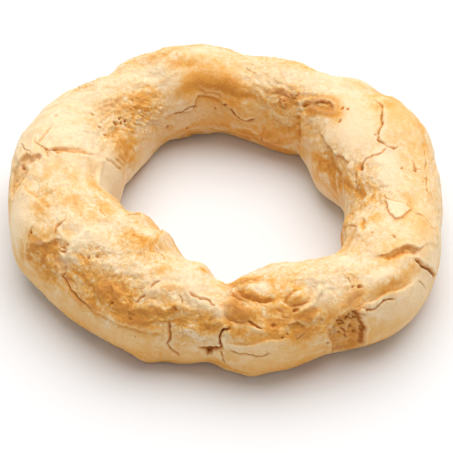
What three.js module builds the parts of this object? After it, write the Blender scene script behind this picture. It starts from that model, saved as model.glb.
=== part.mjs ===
// Cassava ring biscuit: a puffed starch ring, baked in one piece on a flat tray.
//
// Millimetres, +Z up. The origin is on the flat underside, below the middle of the ring's box.
// A point of the skin has a ring angle, counted from +X towards +Y, and a section angle,
// counted from the outer side (0) over the crown (90) to the side that faces the hole (180).

import * as THREE from 'three';

// Stations of the dough rope: ring angle, centre radius, half width, half height.
const ROPE_STATIONS = [
  [0, 36.5, 12.0, 11.0],
  [20, 36.5, 12.5, 11.5],
  [40, 37.5, 11.5, 11.5],
  [60, 35.0, 10.0, 10.5],
  [80, 36.5, 10.0, 10.5],
  [100, 39.5, 10.5, 11.0],
  [120, 40.0, 10.0, 10.5],
  [140, 38.5, 12.0, 11.0],
  [160, 38.0, 13.5, 11.5],
  [180, 38.0, 12.0, 11.5],
  [200, 36.0, 13.5, 11.5],
  [220, 35.0, 12.5, 11.5],
  [240, 34.0, 12.5, 11.0],
  [260, 35.0, 10.0, 10.0],
  [280, 36.5, 10.5, 10.5],
  [300, 37.5, 10.5, 11.0],
  [320, 40.5, 10.5, 11.0],
  [340, 39.5, 10.5, 11.0],
];

// Where the dough puffed up or stayed back: ring angle, section angle, rise,
// reach along the ring, reach around the section.
const SWELLINGS = [
  [30, 200, 2.5, 7, 10],
  [56, 190, -1.0, 6, 10],
  [188, 160, -2.0, 5, 10],
  [205, 140, 3.0, 6, 9],
  [250, 120, 1.0, 8, 8],
  [266, 140, -1.5, 3, 8],
  [276, 135, 2.0, 7, 8],
  [300, 120, 0.5, 7, 8],
  [345, 180, -2.0, 6, 10],
];

const SECTION_SQUARENESS = 2.3; // exponent of the section's oval, where 2 is an ellipse
const TRAY_SINK = 1.8; // how much of the round underside the tray pressed flat
const RING_STEPS = 120;
const SECTION_STEPS = 28;

const CRUST_COLOUR = 0xeec88a;
const CRUST_ROUGHNESS = 0.6;

const TURN = 360;
const STATION_GAP = TURN / ROPE_STATIONS.length;

function wrapped(angle) {
  return THREE.MathUtils.euclideanModulo(angle + TURN / 2, TURN) - TURN / 2;
}

// A smooth closed curve through one column of the stations.
function ropeValue(ringAngle, column) {
  const place = ringAngle / STATION_GAP;
  const first = Math.floor(place);
  const t = place - first;
  const count = ROPE_STATIONS.length;
  const [p0, p1, p2, p3] = [-1, 0, 1, 2].map(
    (offset) => ROPE_STATIONS[(first + offset + count) % count][column]
  );
  const linear = p2 - p0;
  const square = 2 * p0 - 5 * p1 + 4 * p2 - p3;
  const cube = 3 * p1 - p0 - 3 * p2 + p3;
  return 0.5 * (2 * p1 + linear * t + square * t * t + cube * t * t * t);
}

function rounded(value) {
  return Math.sign(value) * Math.abs(value) ** (2 / SECTION_SQUARENESS);
}

function swellingAt(ringAngle, sectionAngle, radius, girth) {
  let rise = 0;
  for (const [ring, section, height, along, around] of SWELLINGS) {
    const alongGap = THREE.MathUtils.degToRad(wrapped(ringAngle - ring)) * radius;
    const aroundGap = THREE.MathUtils.degToRad(wrapped(sectionAngle - section)) * girth;
    rise += height * Math.exp(-((alongGap / along) ** 2) - (aroundGap / around) ** 2);
  }
  return rise;
}

function skinPoint(ringAngle, sectionAngle) {
  const centreRadius = ropeValue(ringAngle, 1);
  const halfWidth = ropeValue(ringAngle, 2);
  const halfHeight = ropeValue(ringAngle, 3);
  const turn = THREE.MathUtils.degToRad(ringAngle);
  const around = THREE.MathUtils.degToRad(sectionAngle);
  const acrossSection = halfWidth * rounded(Math.cos(around));
  const upSection = halfHeight * rounded(Math.sin(around));
  const outward = new THREE.Vector2(
    Math.cos(around) / halfWidth,
    Math.sin(around) / halfHeight
  ).normalize();
  const girth = (halfWidth + halfHeight) / 2;
  const rise = swellingAt(ringAngle, sectionAngle, centreRadius + acrossSection, girth);
  const radius = centreRadius + acrossSection + rise * outward.x;
  const height = halfHeight - TRAY_SINK + upSection + rise * outward.y;
  return new THREE.Vector3(
    radius * Math.cos(turn),
    radius * Math.sin(turn),
    Math.max(height, 0)
  );
}

function ringGeometry() {
  const positions = [];
  const faces = [];
  const index = (i, j) => (i % RING_STEPS) * SECTION_STEPS + (j % SECTION_STEPS);
  for (let i = 0; i < RING_STEPS; i += 1) {
    for (let j = 0; j < SECTION_STEPS; j += 1) {
      const point = skinPoint((i * TURN) / RING_STEPS, (j * TURN) / SECTION_STEPS);
      positions.push(point.x, point.y, point.z);
      faces.push(index(i, j), index(i + 1, j), index(i + 1, j + 1));
      faces.push(index(i, j), index(i + 1, j + 1), index(i, j + 1));
    }
  }
  const geometry = new THREE.BufferGeometry();
  geometry.setAttribute('position', new THREE.Float32BufferAttribute(positions, 3));
  geometry.setIndex(faces);
  geometry.computeBoundingBox();
  const middle = geometry.boundingBox.getCenter(new THREE.Vector3());
  geometry.translate(-middle.x, -middle.y, 0);
  geometry.computeVertexNormals();
  return geometry;
}

function cassavaRing() {
  const crust = new THREE.MeshStandardMaterial({
    color: CRUST_COLOUR,
    roughness: CRUST_ROUGHNESS,
    metalness: 0,
  });
  const ring = new THREE.Mesh(ringGeometry(), crust);
  ring.name = 'cassava_ring';
  return ring;
}

const biscuit = new THREE.Group();
biscuit.add(cassavaRing());

export default biscuit;
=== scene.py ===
"""Cassava ring biscuit: the baked crust of the ring, its pale floor, light and camera.

The piece is one closed skin. Its broad form repeats the stations of the dough rope, and every
plate, crack, flake, hollow and toasted patch is then laid on it at a ring angle and a section
angle: the ring angle runs from +X towards +Y, and the section angle from the outer side (0)
over the crown (90) to the side that faces the hole (180). Lengths in the tables are millimetres.
"""

import functools
import itertools
import math

import bpy
import numpy as np
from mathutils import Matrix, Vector


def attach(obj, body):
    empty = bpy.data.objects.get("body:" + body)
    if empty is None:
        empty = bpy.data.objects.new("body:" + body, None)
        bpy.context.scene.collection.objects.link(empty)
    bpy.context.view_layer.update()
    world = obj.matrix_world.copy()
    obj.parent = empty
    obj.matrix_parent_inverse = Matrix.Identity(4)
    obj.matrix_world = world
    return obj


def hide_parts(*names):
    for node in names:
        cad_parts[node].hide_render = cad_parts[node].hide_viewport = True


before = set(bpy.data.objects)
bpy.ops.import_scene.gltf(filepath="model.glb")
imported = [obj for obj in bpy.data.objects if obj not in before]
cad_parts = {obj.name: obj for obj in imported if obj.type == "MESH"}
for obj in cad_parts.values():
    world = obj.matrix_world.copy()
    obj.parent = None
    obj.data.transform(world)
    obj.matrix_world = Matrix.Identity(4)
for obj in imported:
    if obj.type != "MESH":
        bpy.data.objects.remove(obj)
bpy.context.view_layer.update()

bl_info = {
    "name": "Cassava Ring Biscuit",
    "version": (1, 0, 0),
    "blender": (4, 5, 0),
    "location": "View3D > Sidebar > Biscuit",
    "description": "Builds the crust of a puffed cassava ring and the stage it lies on",
    "category": "Add Mesh",
}

NODE = "cassava_ring"
PIECE = "cassava_ring_crust"
SENSOR_WIDTH = 36.0  # mm
MM = 0.001
TURN = 360.0

# ---------------------------------------------------------------------------
# The dough rope
# ---------------------------------------------------------------------------

# Ring angle: centre radius, half width, half height.
ROPE_STATIONS = {
    0: (36.5, 12.0, 11.0),
    20: (36.5, 12.5, 11.5),
    40: (37.5, 11.5, 11.5),
    60: (35.0, 10.0, 10.5),
    80: (36.5, 10.0, 10.5),
    100: (39.5, 10.5, 11.0),
    120: (40.0, 10.0, 10.5),
    140: (38.5, 12.0, 11.0),
    160: (38.0, 13.5, 11.5),
    180: (38.0, 12.0, 11.5),
    200: (36.0, 13.5, 11.5),
    220: (35.0, 12.5, 11.5),
    240: (34.0, 12.5, 11.0),
    260: (35.0, 10.0, 10.0),
    280: (36.5, 10.5, 10.5),
    300: (37.5, 10.5, 11.0),
    320: (40.5, 10.5, 11.0),
    340: (39.5, 10.5, 11.0),
}
SECTION_SQUARENESS = 2.3  # exponent of the section's oval, where 2 is an ellipse
TRAY_SINK = 1.8  # how much of the round underside the tray pressed flat

# Layers of noise: size of a lump, seed, height. One strays the edges, one lifts the dough.
STRAY_LAYERS = ((3.0, 11, 0.4), (1.0, 21, 0.2), (0.45, 41, 0.1))
LUMP_LAYERS = ((11.0, 61, 0.3), (4.5, 62, 0.14), (1.7, 63, 0.035))

# Where the dough puffed or stayed back: ring, section, rise, reach along, reach around.
BROAD_SWELLS = [
    (30, 200, 2.5, 7, 10),
    (56, 190, -1.0, 6, 10),
    (188, 160, -2.0, 5, 10),
    (205, 140, 3.0, 6, 9),
    (250, 120, 1.0, 8, 8),
    (266, 140, -1.5, 3, 8),
    (276, 135, 2.0, 7, 8),
    (300, 120, 0.5, 7, 8),
    (345, 180, -2.0, 6, 10),
]

# Blisters, lobes and dips of the skin itself, in the same terms.
FINE_SWELLS = [
    (99, 92, 1.0, 7, 5),
    (92, 124, 1.2, 6, 4.5),
    (94, 143, -0.7, 8, 1.6),
    (135, 92, 0.8, 6, 5),
    (119, 112, -0.8, 2.5, 7),
    (150, 105, -0.4, 5, 4),
    (165, 85, 0.5, 5, 5),
    (188, 95, 0.5, 6, 6),
    (196, 35, 0.5, 5, 5),
    (217, 66, 0.6, 1.8, 5),
    (228, 85, 0.5, 6, 5),
    (242, 5, 0.8, 9, 5),
    (255, 12, -0.7, 3, 5),
    (264, 65, 0.7, 3.2, 1.5),
    (278, 91, 1.1, 3.4, 2.8),
    (273.5, 62, 0.8, 3.0, 3.0),
    (290.3, 68, 1.1, 1.6, 1.8),
    (281, 5, 0.9, 9, 5),
    (314, 57, 0.8, 6, 1.8),
    (316, 5, 1.0, 9, 6),
    (333, 62, 0.6, 5, 5),
    (20, 66, 0.7, 8, 5),
    (26, 122, 0.7, 7, 6),
    (355, 85, 0.4, 6, 6),
    (72, 108, 0.4, 5, 4),
    (12, 160, -0.7, 5, 3),
    (262, 150, 0.4, 5, 4),
]

# Where the rim itself bulges or draws in, on its outer side and on its hole side.
RIM_SWELLS = [
    (324, 158, -2.0, 3, 8),
    (204, 156, -1.2, 3, 8),
    (0, 203, -0.9, 4, 8),
    (240, 165, 0.8, 4, 8),
    (216, 160, -0.8, 3, 8),
    (20, 20, 0.9, 5, 9),
    (38, 36, -1.3, 4, 9),
    (68, 46, 1.1, 5, 9),
    (88, 48, -1.3, 6, 9),
    (103, 46, -0.5, 5, 9),
    (130, 44, -1.4, 6, 9),
    (200, -8, 0.8, 4, 8),
    (246, -40, 1.3, 3, 8),
    (264, -38, -1.3, 3, 8),
    (276, -40, 0.9, 3, 8),
    (298, -42, -1.0, 6, 8),
    (348, 6, -1.2, 6, 10),
    (8, 206, -0.9, 4, 8),
    (42, 203, 0.9, 6, 8),
    (54, 229, -1.3, 2.5, 8),
    (99, 231, -1.3, 10, 8),
    (130, 218, 1.0, 7, 8),
    (160, 205, -1.1, 4, 8),
    (168, 212, 0.8, 3, 8),
    (205, 146, -3.0, 4, 8),
    (218, 168, 2.2, 4, 9),
    (234, 130, 1.4, 2.5, 7),
    (243, 140, -1.9, 4, 8),
    (251, 139, -1.0, 3, 8),
    (264, 137, -1.0, 2, 8),
    (271, 146, -2.6, 3, 8),
    (279, 138, -1.9, 4, 8),
    (300, 141, -0.9, 3, 8),
    (313, 133, -1.3, 5, 8),
    (325, 142, 2.3, 3.5, 8),
    (335, 168, 2.2, 4, 9),
    (345, 195, 3.0, 4.5, 9),
]

# ---------------------------------------------------------------------------
# Broken skin. A path is walked point by point: (ring, section).
# ---------------------------------------------------------------------------

# Torn plate edges: lift, reach, path. The raised side is on the left of the walk.
TORN_EDGES = [
    (0.35, 3.0, [(201, 70), (197, 66), (193, 62), (190, 57), (187.5, 52)]),
    (0.6, 4.0, [(121, 166), (115, 168), (110, 170), (107, 168), (106, 158), (104, 150), (101, 149),
                (97, 152), (94, 152), (92, 160), (88, 166), (86, 172), (83, 174), (79, 171), (76, 168)]),
    (0.25, 2.0, [(104, 139), (101, 144), (97, 147), (94, 146), (92.5, 150)]),
    (0.5, 3.0, [(76, 196), (72, 200), (69, 196), (65, 201), (61, 198), (57, 203), (54, 200)]),
    (0.6, 4.0, [(173.5, 122), (174.5, 108), (175.5, 97), (176.5, 86)]),
    (0.6, 3.0, [(176, 40), (175, 48), (174.5, 56), (176, 63), (175.2, 70), (176.5, 75)]),
    (0.4, 5.0, [(207, 5), (206, 15), (204, 27), (203, 38), (202, 50)]),
    (0.4, 3.0, [(207, 33), (208.5, 40), (209.5, 48), (210.5, 57), (213, 61)]),
    (0.5, 3.0, [(231, 13), (235, 17), (240.5, 15), (245, 17), (247.5, 16), (250.5, 18), (253, 16)]),
    (0.5, 3.0, [(285, 24), (283, 23.5), (280.5, 25), (278.5, 24), (276, 20), (273, 20), (269, 19)]),
    (0.5, 2.5, [(279, 37), (276.5, 43), (275, 45), (273, 43), (270.5, 45)]),
    (0.6, 2.0, [(285.5, 42), (286.5, 39), (288, 40.5), (289, 36), (290.3, 31)]),
    (0.5, 1.5, [(292.5, 34), (293.5, 38), (294.5, 35), (295.3, 30)]),
    (0.9, 6.0, [(302.5, 35), (304, 26), (304.6, 15), (304.8, 3), (305, -10), (304.5, -22)]),
    (0.7, 4.0, [(322, 31), (319.5, 34.5), (317.5, 36), (314, 40), (312, 38.5), (309.5, 36.5),
                (307, 38), (305.5, 36), (303.5, 33)]),
    (0.55, 5.0, [(317.5, 87), (320, 82), (322.5, 77), (324.3, 74), (326.8, 68), (328, 64),
                (328.7, 58), (329.5, 54), (332, 50)]),
    (0.6, 4.0, [(326, 52), (326.7, 38), (328.5, 24), (330.5, 10), (331.3, 0)]),
    (0.7, 3.5, [(336, 26), (337.5, 31), (338.6, 40), (338.8, 50), (340.2, 62), (340, 74)]),
    (0.4, 4.0, [(33, 81), (28, 80.5), (24, 84), (20, 88.5), (16, 94), (13, 97), (10.3, 91.5)]),
    (0.7, 5.0, [(36, 153), (30, 150), (24, 150), (16, 144), (11, 138), (7, 133)]),
    (0.6, 2.5, [(54, 123), (51, 124), (48, 122.5), (45.5, 117.5), (43, 115.5), (40, 119)]),
    (0.5, 2.0, [(66, 116), (63, 117), (60.5, 119), (58, 117)]),
    (0.5, 1.5, [(66, 123), (64.5, 129), (62, 133)]),
    (0.5, 1.5, [(58, 121), (55.5, 130), (57, 137)]),
]

# Cracks: width, depth, path.
CRACKS = [
    (0.35, 0.5, [(273, 95), (276, 98), (279, 98.5), (282, 96)]),
    (0.5, 0.5, [(270.3, 88), (271, 82), (273, 77), (275.5, 73)]),
    (0.4, 0.4, [(283, 60), (285, 56), (284.5, 50), (287, 47)]),
    (0.5, 0.6, [(54, 121.5), (51, 122.5), (48, 121), (45, 117)]),
    (0.4, 0.5, [(194, 118), (198, 115), (201, 117)]),
    (0.4, 0.5, [(206, 108), (209, 104), (213, 103)]),
    (0.4, 0.5, [(236, 108), (240, 104), (243, 104), (245, 100)]),
    (0.45, 0.9, [(298.5, 27), (299.3, 22), (300.8, 20), (301.2, 14)]),
    (0.45, 0.9, [(300, 12), (301.5, 6), (301.3, 0), (302.3, -6)]),
    (0.40, 0.8, [(302.4, 30), (302.2, 24), (303.2, 19)]),
    (0.35, 0.7, [(298, 16), (298.6, 9), (298.2, 2)]),
    (0.5, 0.6, [(84, 96), (81, 99.5), (79, 100.5)]),
    (0.6, 0.7, [(116, 167), (112, 169), (110, 166), (107.5, 163), (105, 165)]),
    (0.6, 0.8, [(89, 163), (87.5, 169), (85, 172.5), (82, 173), (79, 171), (76.5, 168)]),
    (0.6, 0.6, [(153.5, 45), (152, 52), (151, 58)]),
    (0.5, 0.5, [(171, 68), (167, 72), (163, 74.5)]),
    (0.5, 0.6, [(173, 73), (174.5, 82), (173, 90)]),
    (0.8, 0.9, [(209, 59), (207.5, 65), (207, 70), (207, 76)]),
    (0.8, 1.0, [(219.5, 36), (219, 28), (221.5, 24), (224, 19), (226.5, 17), (229, 18), (231.5, 13)]),
    (0.7, 0.8, [(243.5, 46), (244, 51), (244.7, 58)]),
    (0.6, 0.7, [(245.5, 66), (246, 73), (247, 80)]),
    (0.5, 0.6, [(254, 72), (255.5, 68), (256, 61)]),
    (0.6, 0.8, [(257, 76), (259, 74), (261, 72), (262.5, 74), (263.5, 73), (264.5, 68), (266, 67)]),
    (0.8, 1.0, [(253, 36), (253.5, 27), (254, 15), (253.3, 4), (255, -5), (257, -10)]),
    (0.25, 0.4, [(256.5, 33), (257.5, 24), (257, 16)]),
    (0.75, 2.0, [(270.5, 38), (268.5, 36), (267.6, 31), (267.5, 24), (267.6, 18), (268, 12)]),
    (0.65, 1.5, [(268, 12), (266, 11), (264.5, 7), (262, 7)]),
    (0.50, 1.1, [(266, 8), (265, 1), (263.5, -4)]),
    (0.35, 0.8, [(267.6, 8), (268, -3), (269.2, -13)]),
    (0.5, 0.6, [(270, 12), (272.5, 9), (275.5, 9.5), (278, 8.5), (280.5, 10)]),
    (0.7, 0.9, [(275, 50), (276.5, 44.5), (278.7, 38)]),
    (0.35, 0.5, [(270, 49), (273, 46.5), (275, 48.5)]),
    (0.30, 0.4, [(280, 98), (283, 97)]),
    (0.35, 0.5, [(287, 21), (289.5, 24)]),
    (0.8, 1.8, [(303, 34), (304.2, 26), (304.9, 15), (305.1, 4), (305.3, -8), (305, -20)]),
    (0.6, 0.8, [(305.5, 32), (307, 28.5), (308.5, 26), (310.5, 30.5), (312, 32), (314.7, 30)]),
    (0.4, 0.5, [(323, 27), (324.3, 18), (325.5, 8)]),
    (0.35, 0.5, [(306.5, 76), (306, 66)]),
    (0.9, 1.1, [(326, 52), (326.7, 38), (328.5, 24), (330.5, 10), (331.3, 0)]),
    (1.0, 1.3, [(336, 26), (337.5, 31), (338.6, 40), (338.8, 50), (340.2, 62), (340, 74)]),
    (0.6, 0.7, [(346, 107), (344, 103.5), (343, 100)]),
    (0.5, 0.6, [(340, 106), (339, 102)]),
    (0.45, 0.8, [(33, 81), (28, 80.5), (24, 84), (20, 88.5), (16, 94), (13, 97), (10.3, 91.5),
                 (8, 87), (9.3, 82)]),
    (0.6, 0.9, [(9, 91), (7, 96), (6, 101), (6, 107), (5.5, 113), (4, 118), (2, 122)]),
    (0.6, 0.7, [(1, 127), (358, 133), (355, 139), (353, 146)]),
    (0.5, 0.5, [(12, 51), (8, 50), (4, 52), (0, 54), (354, 56), (350, 57)]),
    (0.6, 0.6, [(3.5, 72), (1, 69.5), (359.5, 69), (358, 71)]),
    (0.5, 0.5, [(359.7, 72), (0, 66), (0.3, 61)]),
    (0.30, 0.4, [(38, 72), (36.5, 68), (35, 65)]),
]

# Smooth folds and creases, with no torn skin: width, depth, path. A minus sign makes a ridge.
FOLDS = [
    (0.8, -0.6, [(214.5, 86), (215.5, 78), (216.5, 70), (217, 62), (217.5, 54), (218.5, 46)]),
    (1.5, 1.1, [(269.5, 140), (269.5, 122), (270, 105), (270, 98), (271, 92)]),
    (0.35, 0.8, [(271.5, 97), (273, 86), (275, 80.5), (277, 76), (279.5, 72), (281.5, 71), (283.5, 73)]),
    (0.5, 0.45, [(269, 84), (268.6, 77), (268.2, 66), (268.6, 58), (269.8, 51), (273, 47)]),
    (0.3, 0.6, [(292, 76), (289.5, 76.5), (287.4, 73), (286.7, 67), (287.6, 61), (290, 58.5),
                (292.6, 60), (294, 65)]),
    (0.6, -0.8, [(288, 50), (290.5, 52.5), (293.5, 56), (295.7, 61), (297, 67), (296.8, 74)]),
    (0.22, 0.5, [(169.5, 136), (168.5, 146), (167.5, 156), (165.5, 168)]),
    (0.22, 0.5, [(165.8, 148), (164, 158), (162, 168)]),
    (0.2, 0.4, [(162, 150), (160, 160), (158, 170)]),
    (0.9, -0.5, [(171, 133), (176, 136), (181, 138), (186, 136)]),
    (0.9, -0.7, [(52, 136), (50.5, 148), (49, 158), (48, 170), (47.5, 185), (47, 200)]),
    (0.9, 0.7, [(54, 140), (53, 150), (51.5, 160), (50.5, 172), (50, 188)]),
    (0.8, -0.4, [(257, 28), (257, 14), (257, 2)]),
    (0.6, -0.4, [(294, 26), (294.5, 14), (295, 2)]),
    (0.5, 0.4, [(295.6, 26), (296, 14), (296.2, 4)]),
    (0.6, 0.4, [(213, 62), (216, 54), (219, 44)]),
    (0.6, -0.4, [(322, 118), (325, 122), (328, 128)]),
    (0.6, 0.4, [(325, 117), (328, 121), (332, 126)]),
]

# Places where the skin is gone and the crumb shows: depth, how dark the crumb and its painted shade are,
# outline.
HOLLOWS = [
    (0.45, 0.35, [(173.3, 84), (172.3, 93), (171.4, 100), (171.4, 110), (172, 118), (171.5, 124),
                 (173.5, 118), (174.4, 108), (175.4, 97), (176, 88)]),
    (0.45, 0.22, [(175.2, 44), (174.8, 56), (176.2, 63), (175.4, 70), (176.8, 74), (178, 70),
                 (178.5, 60), (179, 50), (178, 42)]),
    (0.5, 0.25, [(176, 28), (176, 42), (179, 55), (181, 60), (185, 45), (187, 30), (183, 22)]),
    (0.25, 0.12, [(206.5, 8), (205.3, 20), (205.5, 32), (209, 42), (211, 56), (214, 58), (217, 48),
                 (219, 38), (219, 28), (217, 12), (212, 4)]),
    (1.0, 0.75, [(262, 9), (265, 13), (268, 14), (268, 9), (266, 5), (265, -2), (263.5, -5), (263, 3)]),
    (1.1, 0.26, [(296, 14), (297.5, 24), (300, 30), (302.5, 34), (303.8, 27), (304.6, 16),
                 (304.9, 4), (305, -8), (305, -22), (303, -34), (299, -34), (298, -20), (297, -8)]),
    (0.5, 0.3, [(319.5, 80), (321.5, 76), (323.5, 73), (325.5, 70), (327.5, 66), (328.3, 60),
                (329, 54), (327, 53), (326, 60), (324.5, 64), (322, 68), (320, 73)]),
    (0.9, 0.80, [(3.5, 118), (4, 122), (2, 125), (0.2, 123), (0.8, 119)]),
    (0.9, 0.6, [(54.5, 124), (52.5, 123.5), (51, 125), (52, 128), (53.5, 131), (54.5, 128)]),
    (0.15, 0.0, [(48, 117), (44.5, 116), (41, 118), (39, 122), (41, 127), (45, 129), (48, 125)]),
]

# Loose flakes standing on the skin: height, outline.
FLAKES = [
    (0.35, [(343.5, 106), (342.5, 96), (342.3, 86), (341.3, 81), (339, 84), (337, 86), (334.5, 90),
           (336, 97), (339, 102)]),
    (0.5, [(213.6, 51), (214.2, 56), (215.4, 55), (214.8, 50)]),
    (0.5, [(303.5, 30), (305, 34), (306.8, 31), (305.5, 27)]),
    (0.5, [(65, 126), (62.5, 131), (61.5, 138), (64, 137)]),
    (0.4, [(61, 108), (58.5, 112), (59.5, 117), (62, 114)]),
]

# Pits: ring, section, size, depth.
PITS = [
    (299.5, 29, 0.45, 0.7), (301.7, 24, 0.45, 0.8), (300.3, 16, 0.4, 0.7), (302.8, 10, 0.5, 0.8),
    (299.7, 5, 0.4, 0.7), (303.6, 22, 0.4, 0.9), (303.8, 3, 0.45, 0.8), (297.6, 22, 0.35, 0.5),
    (148.5, 124, 0.75, 1.2), (144.5, 124, 0.5, 0.7), (143, 131, 0.5, 0.8), (145.5, 129, 0.4, 0.6),
    (155, 113, 0.45, 0.6), (158, 122, 0.4, 0.5), (151, 98, 0.35, 0.4), (157, 72, 0.5, 0.3),
    (91.5, 159, 0.45, 0.8), (119.5, 180, 0.4, 0.5), (109, 194, 0.5, 0.5), (97, 167, 0.4, 0.4),
    (307.5, 58, 0.5, 0.8), (306, 61, 0.35, 0.5), (288.4, 54, 0.5, 0.9), (296, 1, 0.4, 0.5),
    (327.5, 84, 0.45, 0.5), (358.5, 70, 0.5, 0.6), (359, 83, 0.4, 0.4), (352, 58, 0.35, 0.4),
    (355, 60, 0.3, 0.4), (357, 57, 0.3, 0.4), (36, 114, 0.5, 0.5), (34, 110, 0.45, 0.5),
    (31, 124, 0.5, 0.3), (225, 70, 0.35, 0.4), (223, 65, 0.35, 0.5), (221, 62, 0.3, 0.4),
    (224, 60, 0.3, 0.4), (227.5, 107, 0.45, 0.4), (260, 113, 0.45, 0.6), (243, 25, 0.4, 0.5),
    (236.5, 32, 0.5, 0.6), (214.5, 60, 0.4, 0.5), (245, 8, 0.3, 0.3), (281.7, 42, 0.6, 0.5),
    (283.5, 24, 0.35, 0.4), (285, 27, 0.3, 0.4), (203, 40, 0.4, 0.4), (254, 53, 0.5, 0.5),
    (339, 103.5, 0.35, 0.4), (325, 105, 0.3, 0.3), (16, 97, 0.35, 0.4), (346.5, 121, 0.3, 0.3),
]

# ---------------------------------------------------------------------------
# Colour and grain, dabbed on: ring, section, amount, reach along, reach around
# ---------------------------------------------------------------------------

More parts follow.
